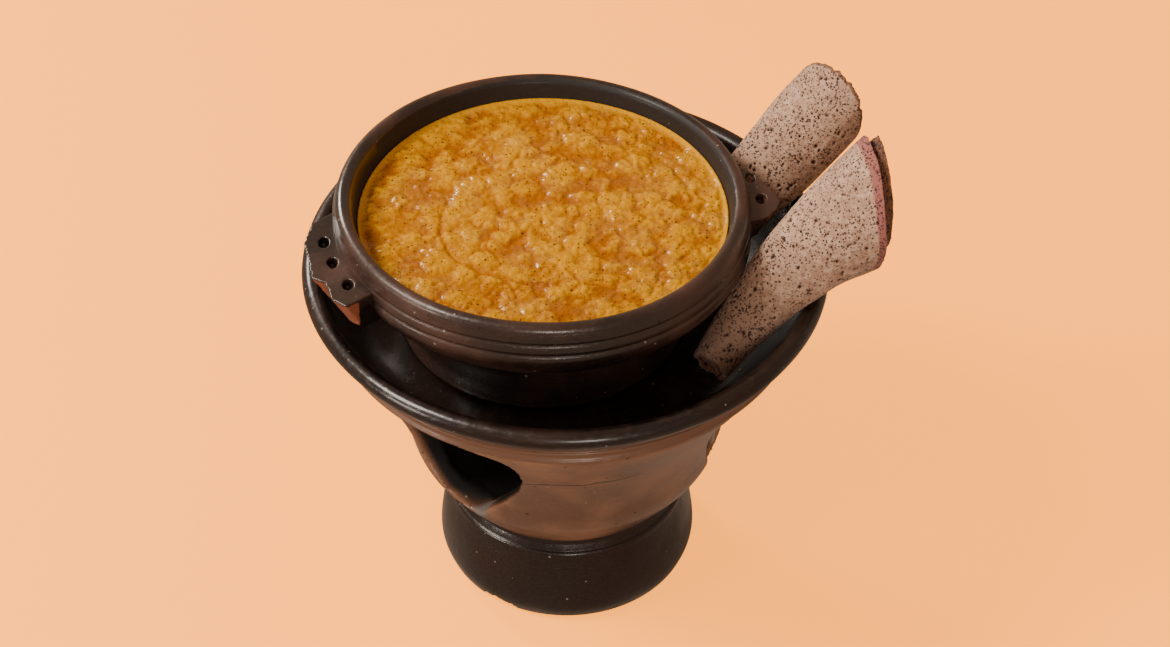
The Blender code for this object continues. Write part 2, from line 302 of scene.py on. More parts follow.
class NodeSheet:
    """Short calls that lay out one node tree."""

    def __init__(self, tree: bpy.types.NodeTree) -> None:
        """Keep the tree."""
        self.tree = tree

    def add(self, kind: str, values: dict | None = None, **settings: object) -> bpy.types.Node:
        """Add a node and fill its inputs.

        Args:
            kind: Blender's name of the node type, without "ShaderNode".
            values: Input name or number to a constant or to another node's output.
            **settings: Properties of the node.

        Returns:
            The new node.
        """
        node = self.tree.nodes.new(f"ShaderNode{kind}")
        for name, value in settings.items():
            setattr(node, name, value)
        for key, value in (values or {}).items():
            if isinstance(value, bpy.types.NodeSocket):
                self.tree.links.new(value, node.inputs[key])
            else:
                node.inputs[key].default_value = value
        return node

    def noise(self, vector: bpy.types.NodeSocket, scale: float, detail: float = 4.0) -> bpy.types.NodeSocket:
        """Add fractal noise and return its value between 0 and 1."""
        return self.add("TexNoise", {"Vector": vector, "Scale": scale, "Detail": detail}).outputs[0]

    def span(self, value: bpy.types.NodeSocket, low: float, high: float,
             to_low: float = 0.0, to_high: float = 1.0) -> bpy.types.NodeSocket:
        """Stretch the range low to high onto another range, clamped."""
        return self.add("MapRange", {0: value, 1: low, 2: high, 3: to_low, 4: to_high}).outputs[0]

    def math(self, operation: str, first: object, second: object) -> bpy.types.NodeSocket:
        """Join two values by a math operation."""
        return self.add("Math", {0: first, 1: second}, operation=operation).outputs[0]

    def blend(self, share: object, first: object, second: object, mode: str = "MIX") -> bpy.types.NodeSocket:
        """Blend two colours by a share."""
        colours = [(*c, 1.0) if isinstance(c, tuple) else c for c in (first, second)]
        node = self.add("Mix", {0: share, 6: colours[0], 7: colours[1]}, data_type="RGBA", blend_type=mode)
        return node.outputs[2]

    def attribute(self, name: str) -> bpy.types.NodeSocket:
        """Read a value that the mesh carries on its points."""
        return self.add("Attribute", attribute_name=name).outputs["Fac"]

    def bump(self, height: bpy.types.NodeSocket, distance: float, strength: float,
             normal: bpy.types.NodeSocket | None = None) -> bpy.types.NodeSocket:
        """Turn a height into a normal, on top of another one if given."""
        values = {"Height": height, "Distance": distance, "Strength": strength}
        if normal:
            values["Normal"] = normal
        return self.add("Bump", values).outputs[0]


def new_group(name: str, inputs: Sequence[tuple[str, str]], outputs: Sequence[str]) -> tuple[NodeSheet, dict, dict]:
    """Start a shader node group.

    Args:
        name: Name of the group.
        inputs: Name and socket type of each input.
        outputs: Names of the value outputs.

    Returns:
        The sheet of the group, its input sockets by name, and its output sockets by name.
    """
    tree = bpy.data.node_groups.new(name, "ShaderNodeTree")
    for label, kind in inputs:
        tree.interface.new_socket(label, in_out="INPUT", socket_type=kind)
    for label in outputs:
        tree.interface.new_socket(label, in_out="OUTPUT", socket_type="NodeSocketFloat")
    start = tree.nodes.new("NodeGroupInput")
    end = tree.nodes.new("NodeGroupOutput")
    return (
        NodeSheet(tree),
        {label: start.outputs[label] for label, _ in inputs},
        {label: end.inputs[label] for label in outputs},
    )


def make_holes_group() -> bpy.types.NodeTree:
    """Build the group that scatters round holes, used for pores and for specks.

    Returns:
        Group with Vector, Scale, Reach and Share in, and Mask out.
    """
    sheet, given, result = new_group(
        "Scattered holes",
        [("Vector", "NodeSocketVector"), ("Scale", "NodeSocketFloat"),
         ("Reach", "NodeSocketFloat"), ("Share", "NodeSocketFloat")],
        ["Mask"],
    )
    cells = sheet.add("TexVoronoi", {"Vector": given["Vector"], "Scale": given["Scale"]})
    parts = sheet.add("SeparateColor", {0: cells.outputs["Color"]}).outputs
    size = sheet.math("MULTIPLY", given["Reach"], sheet.span(parts[1], 0.0, 1.0, 0.45, 1.0))
    depth = sheet.math("DIVIDE", cells.outputs["Distance"], size)
    hole = sheet.span(depth, 1.0, 0.70)
    chosen = sheet.math("LESS_THAN", parts[0], given["Share"])
    sheet.tree.links.new(sheet.math("MULTIPLY", hole, chosen), result["Mask"])
    return sheet.tree


def make_strokes_group() -> bpy.types.NodeTree:
    """Build the group that draws fine rubbing strokes that run round the vertical axis.

    Returns:
        Group with Vector and Scale in, and Mask out.
    """
    sheet, given, result = new_group(
        "Rubbing strokes", [("Vector", "NodeSocketVector"), ("Scale", "NodeSocketFloat")], ["Mask"],
    )
    parts = sheet.add("SeparateXYZ", {0: given["Vector"]}).outputs
    turn = sheet.math("MULTIPLY", sheet.math("ARCTAN2", parts[1], parts[0]), 0.02)
    round_about = sheet.add("CombineXYZ", {0: turn, 1: parts[2]}).outputs[0]
    lines = sheet.noise(sheet.add("VectorMath", {0: round_about, "Scale": given["Scale"]}, operation="SCALE").outputs[0],
                        1.0, 3.0)
    sheet.tree.links.new(sheet.span(lines, 0.52, 0.68), result["Mask"])
    return sheet.tree


@dataclass(frozen=True)
class Effects:
    """The node groups that several finishes share."""

    holes: bpy.types.NodeTree = field(default_factory=make_holes_group)
    strokes: bpy.types.NodeTree = field(default_factory=make_strokes_group)

    def scatter(self, sheet: NodeSheet, vector: bpy.types.NodeSocket, scale: float,
                reach: float, share: float) -> bpy.types.NodeSocket:
        """Place the hole group in a material.

        Args:
            sheet: Sheet of the material.
            vector: Coordinates.
            scale: Cells to the metre.
            reach: Largest hole radius as a share of a cell.
            share: Share of the cells that have a hole.

        Returns:
            The mask, 1 in the holes.
        """
        return self._place(sheet, self.holes, {"Vector": vector, "Scale": scale, "Reach": reach, "Share": share})

    def rub(self, sheet: NodeSheet, vector: bpy.types.NodeSocket, scale: float) -> bpy.types.NodeSocket:
        """Place the stroke group in a material and return its mask."""
        return self._place(sheet, self.strokes, {"Vector": vector, "Scale": scale})

    @staticmethod
    def _place(sheet: NodeSheet, group: bpy.types.NodeTree, values: dict) -> bpy.types.NodeSocket:
        """Add a group node, fill it and return its first output."""
        node = sheet.add("Group", node_tree=group)
        for name, value in values.items():
            if isinstance(value, bpy.types.NodeSocket):
                sheet.tree.links.new(value, node.inputs[name])
            else:
                node.inputs[name].default_value = value
        return node.outputs[0]


def new_finish(name: str, constants: dict[str, object]) -> tuple[bpy.types.Material, NodeSheet, bpy.types.Node]:
    """Start a material with one Principled shader.

    Args:
        name: Name of the material.
        constants: Values set on the shader's own sockets.

    Returns:
        The material, its sheet and its shader node.
    """
    material = bpy.data.materials.new(name)
    material.use_nodes = True
    sheet = NodeSheet(material.node_tree)
    shader = material.node_tree.nodes["Principled BSDF"]
    for socket, value in constants.items():
        shader.inputs[socket].default_value = value
    return material, sheet, shader


@dataclass(frozen=True)
class BurnishedClay:
    """Smoked black clay that was rubbed to a soft sheen, red where it is broken."""

    name: str
    dark: Colour = (0.0095, 0.0050, 0.0038)
    warm: Colour = (0.0800, 0.0380, 0.0260)
    dust: Colour = (0.110, 0.066, 0.050)
    lime: Colour = (0.420, 0.360, 0.320)
    raw: Colour = (0.290, 0.085, 0.038)
    bare: Colour = (0.200, 0.102, 0.060)
    ash: Colour = (0.160, 0.135, 0.120)
    # Near-black, used for painted shade and for the hair crack.
    shade_and_crack_black: Colour = (0.0035, 0.0028, 0.0026)
    gloss: float = 0.50
    coat: float = 0.90
    crack: tuple[float, float, float, float] | None = None

    def make(self, effects: Effects) -> bpy.types.Material:
        """Build the material.

        Args:
            effects: Shared node groups.

        Returns:
            The material. It reads the point attributes raw, sooty, smoked and bare.
        """
        material, sheet, shader = new_finish(
            self.name, {"Coat Roughness": 0.16, "IOR": 1.50, "Specular IOR Level": self.gloss})
        place = sheet.add("TexCoord").outputs["Object"]
        cloud = sheet.noise(place, 26.0, 5.0)
        grit = sheet.noise(place, 420.0, 3.0)
        strokes = effects.rub(sheet, place, 1400.0)
        pits = effects.scatter(sheet, place, 230.0, 0.26, 0.16)
        raw = sheet.attribute("raw")
        sooty = sheet.attribute("sooty")
        colour = sheet.blend(sheet.span(cloud, 0.40, 0.70), self.dark, self.warm)
        colour = sheet.blend(sheet.math("MULTIPLY", strokes, 0.12), colour, self.dust)
        colour = sheet.blend(sheet.attribute("bare"), colour, self.bare)
        edge = sheet.add("NewGeometry").outputs["Pointiness"]
        worn = sheet.math("MULTIPLY", sheet.span(edge, 0.52, 0.62), sheet.span(cloud, 0.35, 0.60))
        colour = sheet.blend(sheet.math("MULTIPLY", worn, 0.45), colour, self.dust)
        broken = sheet.span(sheet.math("ADD", raw, sheet.math("MULTIPLY", grit, 0.5)), 0.70, 0.95)
        colour = sheet.blend(broken, colour, self.raw)
        burnt = sheet.span(sheet.math("ADD", sooty, sheet.math("MULTIPLY", grit, 0.4)), 0.60, 1.00)
        colour = sheet.blend(burnt, colour, self.ash)
        # Painted shade: this attribute blackens the clay inside the stand's chamber and on the wall inside the pot's
        # rim.
        painted_shade = sheet.attribute("painted_shade")
        colour = sheet.blend(painted_shade, colour, self.shade_and_crack_black)
        colour = sheet.blend(sheet.math("MULTIPLY", pits, 0.8), colour, (0.004, 0.003, 0.003))
        chalk = effects.scatter(sheet, place, 240.0, 0.17, 0.20)
        colour = sheet.blend(sheet.math("MULTIPLY", chalk, 0.55), colour, self.lime)
        if self.crack:
            colour = sheet.blend(self._crack_line(sheet, place), colour, self.shade_and_crack_black)
        matt = sheet.math("MAXIMUM", sheet.math("MAXIMUM", broken, burnt), painted_shade)
        rough = sheet.math("ADD", sheet.span(cloud, 0.30, 0.75, 0.28, 0.46), sheet.math("MULTIPLY", matt, 0.40))
        shine = sheet.math("MULTIPLY", sheet.span(cloud, 0.34, 0.62, self.coat, 0.06), sheet.math("SUBTRACT", 1.0, matt))
        normal = sheet.bump(grit, 0.00025, 0.30)
        normal = sheet.bump(sheet.math("SUBTRACT", strokes, pits), 0.00012, 0.35, normal)
        normal = sheet.bump(sheet.noise(place, 95.0, 3.0), 0.0011, 0.50, normal)
        for socket, value in (("Base Color", colour), ("Roughness", rough), ("Coat Weight", shine), ("Normal", normal)):
            sheet.tree.links.new(value, shader.inputs[socket])
        return material

    def _crack_line(self, sheet: NodeSheet, place: bpy.types.NodeSocket) -> bpy.types.NodeSocket:
        """Draw the hair crack that runs across the front of the bowl.

        Args:
            sheet: Sheet of the material.
            place: Object coordinates.

        Returns:
            The mask, 1 in the crack.
        """
        first, last, height, rise = self.crack
        parts = sheet.add("SeparateXYZ", {0: place}).outputs
        turn = sheet.math("ARCTAN2", parts[1], parts[0])
        wander = sheet.span(sheet.noise(place, 38.0, 3.0), 0.30, 0.70, -0.0032, 0.0032)
        course = sheet.math("ADD", sheet.span(turn, first, last, height, height + rise), wander)
        gap = sheet.math("ABSOLUTE", sheet.math("SUBTRACT", parts[2], course), 0.0)
        within = sheet.math("MULTIPLY", sheet.math("GREATER_THAN", turn, first), sheet.math("LESS_THAN", turn, last))
        return sheet.math("MULTIPLY", sheet.span(gap, 0.00060, 0.00030), within)


@dataclass(frozen=True)
class LentilStew:
    """Thick golden stew, wet on top, darker and redder in the hollows of its relief, with dark spice specks."""

    bright: Colour = (0.60, 0.258, 0.000)
    deep: Colour = (0.370, 0.108, 0.000)
    pale: Colour = (0.70, 0.340, 0.000)
    spice: Colour = (0.045, 0.013, 0.000)

    def make(self, effects: Effects) -> bpy.types.Material:
        """Build the material.

        Args:
            effects: Shared node groups.

        Returns:
            The material. It reads the point attributes hollow and rim.
        """
        material, sheet, shader = new_finish(
            "Golden lentil stew",
            {"Coat Roughness": 0.20, "IOR": 1.40, "Specular IOR Level": 0.22, "Specular Tint": (1.0, 0.55, 0.08, 1.0)},
        )
        place = sheet.add("TexCoord").outputs["Object"]
        cloud = sheet.noise(place, 60.0, 4.0)
        grain = sheet.noise(place, 620.0, 3.0)
        hollow = sheet.attribute("hollow")
        colour = sheet.blend(sheet.span(grain, 0.35, 0.68), self.bright, self.pale)
        valley = sheet.math("MULTIPLY", sheet.span(hollow, 0.50, 0.90), sheet.span(cloud, 0.20, 0.55, 0.20, 0.95))
        colour = sheet.blend(valley, colour, self.deep)
        fine = effects.scatter(sheet, place, 760.0, 0.42, 0.42)
        coarse = effects.scatter(sheet, place, 380.0, 0.26, 0.26)
        specks = sheet.math("MAXIMUM", sheet.math("MULTIPLY", fine, 0.70), sheet.math("MULTIPLY", coarse, 0.90))
        colour = sheet.blend(specks, colour, self.spice)
        colour = sheet.blend(sheet.math("MULTIPLY", sheet.attribute("rim"), 0.5), colour, self.pale)
        clots = sheet.add("TexVoronoi", {"Vector": place, "Scale": 430.0}, feature="SMOOTH_F1").outputs[0]
        normal = sheet.bump(sheet.math("SUBTRACT", 1.0, clots), 0.0009, 0.40)
        normal = sheet.bump(grain, 0.0006, 0.40, normal)
        rough = sheet.span(cloud, 0.30, 0.70, 0.30, 0.50)
        shine = sheet.span(sheet.noise(place, 95.0, 2.0), 0.50, 0.56, 0.00, 1.00)
        for socket, value in (("Base Color", colour), ("Roughness", rough), ("Coat Weight", shine), ("Normal", normal)):
            sheet.tree.links.new(value, shader.inputs[socket])
        return material


@dataclass(frozen=True)
class InjeraCrumb:
    """Soft sour flatbread: dull, full of small open pores, browner at its cut edge, with painted shade on its inner
    face, its inner turns and towards its lower end.
    """

    name: str
    face: Colour = (0.540, 0.330, 0.220)
    blush: Colour = (0.440, 0.255, 0.168)
    pale: Colour = (0.660, 0.440, 0.310)
    shaded: Colour = (0.170, 0.102, 0.074)
    pore: Colour = (0.030, 0.013, 0.008)
    inner: Colour = (0.190, 0.078, 0.040)
    cut: Colour = (0.210, 0.105, 0.062)

    def make(self, effects: Effects) -> bpy.types.Material:
        """Build the material.

        Args:
            effects: Shared node groups.

        Returns:
            The material. It reads the point attributes along, pore, inside and cut.
        """
        material, sheet, shader = new_finish(self.name, {"Sheen Weight": 0.12, "Sheen Roughness": 0.6, "IOR": 1.40})
        place = sheet.add("TexCoord").outputs["Object"]
        cloud = sheet.noise(place, 45.0, 4.0)
        mottle = sheet.noise(place, 330.0, 4.0)
        colour = sheet.blend(sheet.span(cloud, 0.35, 0.65), self.face, self.blush)
        colour = sheet.blend(sheet.span(mottle, 0.45, 0.70), colour, self.pale)
        # Painted shade: the crumb darkens towards the roll's lower end.
        painted_shade_low_end = sheet.span(sheet.attribute("along"), 0.60, 0.05, 0.0, 0.82)
        colour = sheet.blend(painted_shade_low_end, colour, self.shaded)
        # Painted shade: the inner face of the sheet and its inner turns take the darker inner colour.
        colour = sheet.blend(sheet.attribute("inside"), colour, self.inner)
        colour = sheet.blend(sheet.attribute("cut"), colour, self.cut)
        middling = effects.scatter(sheet, place, 520.0, 0.36, 0.85)
        fine = effects.scatter(sheet, place, 900.0, 0.50, 1.00)
        wide = sheet.attribute("pore")
        patchy = sheet.span(sheet.noise(place, 70.0, 3.0), 0.38, 0.58, 0.40, 1.00)
        holes = sheet.math("MAXIMUM", sheet.math("MULTIPLY", middling, 0.90), sheet.math("MULTIPLY", fine, patchy))
        colour = sheet.blend(sheet.math("MAXIMUM", holes, sheet.span(wide, 0.15, 0.75)), colour, self.pore)
        normal = sheet.bump(sheet.math("SUBTRACT", mottle, holes), 0.0006, 0.75)
        for socket, value in (("Base Color", colour), ("Normal", normal)):
            sheet.tree.links.new(value, shader.inputs[socket])
        sheet.tree.links.new(sheet.span(mottle, 0.30, 0.70, 0.72, 0.92), shader.inputs["Roughness"])
        return material


@dataclass
class ClayStand:
    """The brazier that the pot sits in: foot, pierced bowl and flared dish."""

    black: bpy.types.Material
    # Finish of the bowl: its lighter tan is a painted reflection of the floor on the black clay.
    floor_reflection_clay: bpy.types.Material
    steps: int = 288
    neck: float = 0.0515
    foot_curve: tuple[Point, ...] = ((0.0550, 0.0375), (0.0575, 0.0260), (0.0594, 0.0100), (0.0575, 0.0022))
    foot_radius: float = 0.0545
    bowl: tuple[Point, ...] = (
        (0.0555, 0.0505), (0.0690, 0.0700), (0.0745, 0.0900), (0.0822, 0.1100), (0.0933, 0.1300), (0.1025, 0.1465),
    )
    bead_radius: float = 0.1043
    bead_heights: tuple[float, float] = (0.1490, 0.1535)
    bead_undercut: float = 0.0013
    dish: tuple[Point, ...] = ((0.0745, 0.1405), (0.0860, 0.1440), (0.0965, 0.1525), (0.1040, 0.1630))
    lip: Point = (0.1110, 0.1705)
    lip_tube: float = 0.0043
    wall: float = 0.0110
    chamber_floor: Point = (0.0480, 0.0605)
    chamber_roof: tuple[Point, ...] = ((0.0680, 0.1320), (0.0800, 0.1350), (0.0870, 0.1390))
    window_top: float = 0.1470
    window_slope: float = 0.48
    window_reach: tuple[float, float] = (0.030, 0.140)
    left_window: tuple[Point, ...] = (
        (0.0, 0.0635), (6.5, 0.0700), (12.3, 0.0817), (18.5, 0.0922), (23.3, 0.1026), (26.6, 0.1130),
        (28.3, 0.1250), (27.4, 0.1370), (23.0, 0.1440), (13.0, 0.1468), (-3.0, 0.1470), (-11.0, 0.1462),
        (-16.0, 0.1430), (-18.0, 0.1340), (-20.5, 0.1150), (-22.0, 0.1000), (-21.5, 0.0880),
        (-17.5, 0.0785), (-11.5, 0.0712), (-5.5, 0.0660),
    )
    half_window: tuple[Point, ...] = (
        (5.5, 0.0730), (12.2, 0.0891), (18.0, 0.1040), (23.4, 0.1175),
        (28.8, 0.1320), (31.0, 0.1410), (27.5, 0.1462), (14.0, 0.1470),
    )
    tips: tuple[float, float, float] = (229.0, 343.0, 106.0)
    chip: tuple[float, float] = (237.0, 0.0015)
    grain: float = 0.00148

    def build(self) -> list[bpy.types.Object]:
        """Make the three pieces of the stand.

        Returns:
            The foot, the bowl and the dish.
        """
        return [hand_over(piece, "stand") for piece in (self._foot(), self._bowl(), self._dish())]

    def _foot(self) -> bpy.types.Object:
        """Turn the foot and knock the chip out of its lower edge."""
        neck = [(self.neck, 0.0500), *arc((self.neck + 0.0020, 0.0445), 0.0020, 180, 210, 4),
                (self.neck + 0.0018, 0.0412), *arc((self.neck + 0.0015, 0.0390), 0.0020, 80, 10, 5)]
        curve = smooth_through(self.foot_curve, 10)
        base = arc((self.foot_radius, 0.0022), 0.0022, -20, -90, 5)
        bm = turn_on_wheel([(0.0, 0.0500), *neck, *curve, *base, (0.0, 0.0)], self.steps)
        azimuth, height = self.chip
        centre = polar(self.foot_radius + 0.0005, azimuth, height)
        facing = Vector((math.cos(math.radians(azimuth)), math.sin(math.radians(azimuth)), -0.9)).normalized()
        layer = bm.verts.layers.float.new("raw")
        for vert in bm.verts:
            depth = (vert.co - centre).dot(facing) + 0.0012 * noise.noise(vert.co * 300.0)
            if depth > 0.0 and (vert.co - centre).length < 0.0085:
                vert.co -= facing * depth
                vert.co.z = max(vert.co.z, 0.0)
                vert[layer] = 1.0
        return self._dressed("stand_foot", bm)

    def _bowl(self) -> bpy.types.Object:
        """Turn the bowl, hollow its fire chamber and cut the three windows."""
        top = [(0.0, 0.1392), (0.0745, 0.1392), (0.0860, 0.1424), (0.0960, 0.1498), (0.1010, 0.1495), (0.1024, 0.1480)]
        outside = smooth_through(self.bowl, 8)[::-1]
        solid = turn_on_wheel([*top, *outside, (self.neck, 0.0460), (0.0, 0.0460)], 144)
        bowl = raise_object("stand_bowl", solid, self.floor_reflection_clay)
        low, high = self.chamber_floor[1] + 0.006, self.chamber_roof[-1][1] - 0.002
        wall = [(r - self.wall, z) for r, z in outside if low < z < high]
        roof = smooth_through(self.chamber_roof, 4)
        chamber = turn_on_wheel(
            [(0.0, roof[0][1]), *roof, *wall, self.chamber_floor, (0.0, self.chamber_floor[1])], 96)
        cutters = [raise_object("chamber", chamber)]
        even = ((0.0, 0.0680), *self.half_window, *((-turn, height) for turn, height in self.half_window[::-1]))
        for tip, outline in zip(self.tips, (self.left_window, even, even)):
            cutters.append(self._window(f"window_{tip:.0f}", tip, outline))
        soften(carve(bowl, cutters), self.grain, 3)
        mark(bowl, "sooty", self._ash)
        # Painted shade blackens the clay inside the fire chamber.
        mark(bowl, "painted_shade", self._painted_chamber_shade)
        return bowl

    def _window(self, name: str, tip: float, outline: Sequence[Point]) -> bpy.types.Object:
        """Make the wedge that cuts one window, with a roof that falls inwards.

        Args:
            name: Name of the wedge.
            tip: Azimuth of the window's lowest point.
            outline: Turn from the tip and height of each corner.

        Returns:
            The wedge.
        """
        curve = smooth_through([*outline, outline[0]], 3)[:-1]
        lowest = min(height for _, height in outline)
        bm = bmesh.new()
        ring = [bm.verts.new((turn, height, 0.0)) for turn, height in curve]
        bmesh.ops.triangle_fill(bm, use_beauty=True, edges=[bm.edges.new(p) for p in zip(ring, [*ring[1:], ring[0]])])
        pushed = bmesh.ops.extrude_face_region(bm, geom=bm.faces[:])["geom"]
        outer = {v for v in pushed if isinstance(v, bmesh.types.BMVert)}
        for vert in bm.verts:
            turn, height, reach = vert.co.x, vert.co.y, self.window_reach[vert in outer]
            share = (height - lowest) / (self.window_top - lowest)
            drop = self.window_slope * share * (self.bowl[-1][0] - reach)
            vert.co = polar(reach, tip + turn, height - drop)
        bmesh.ops.recalc_face_normals(bm, faces=bm.faces[:])
        return raise_object(name, bm)

    def _ash(self, place: Vector) -> float:
        """Tell how ashy the clay is: on the sill of the left window."""
        sill = polar(0.066, self.tips[0] + 3.0, 0.0735)
        return smoothstep(0.016, 0.006, (place - sill).length)

    def _painted_chamber_shade(self, place: Vector) -> float:
        """Tell how dark the painted shade makes the clay: inside the chamber."""
        for (r_low, z_low), (r_high, z_high) in zip(self.bowl, self.bowl[1:]):
            if z_low <= place.z <= z_high:
                outer = r_low + (r_high - r_low) * (place.z - z_low) / (z_high - z_low)
                return smoothstep(0.0012, 0.0050, outer - place.xy.length) * (1.0 - self._ash(place))
        return 0.0

    def _dish(self) -> bpy.types.Object:
        """Turn the flared dish with its rolled lip and two beads."""
        lip = arc(self.lip, self.lip_tube, 188, -62, 26)
        beads: list[Point] = [(self.bead_radius - 0.0006, sum(self.bead_heights) / 2.0 + 0.0040)]
        for height in reversed(self.bead_heights):
            groove = self.bead_radius - self.bead_undercut
            beads += [*arc((self.bead_radius - 0.0008, height + 0.0010), 0.0010, 60, -60, 6), (groove, height - 0.0010)]
        under = [(0.0990, 0.1476), (0.0870, 0.1412), (0.0, 0.1380)]
        bm = turn_on_wheel([(0.0, self.dish[0][1]), *smooth_through(self.dish, 10), *lip, *beads, *under], self.steps)
        for vert in bm.verts:
            if vert.co.z > 0.160:
                vert.co.xy *= 1.0 + 0.0022 * noise.noise(vert.co * 26.0)
        dish = self._dressed("stand_dish", bm)
        mark(dish, "bare", self._bare)
        return dish

    def _bare(self, place: Vector) -> float:
        """Tell how bare of smoke the clay is: on the beads under the lip."""
        outside = place.xy.length > 0.0995 + 0.45 * (place.z - 0.1500)
        return smoothstep(0.1655, 0.1625, place.z) if outside else 0.0

    def _dressed(self, name: str, bm: bmesh.types.BMesh) -> bpy.types.Object:
        """Give a turned shape the clay finish."""
        return raise_object(name, bm, self.black)


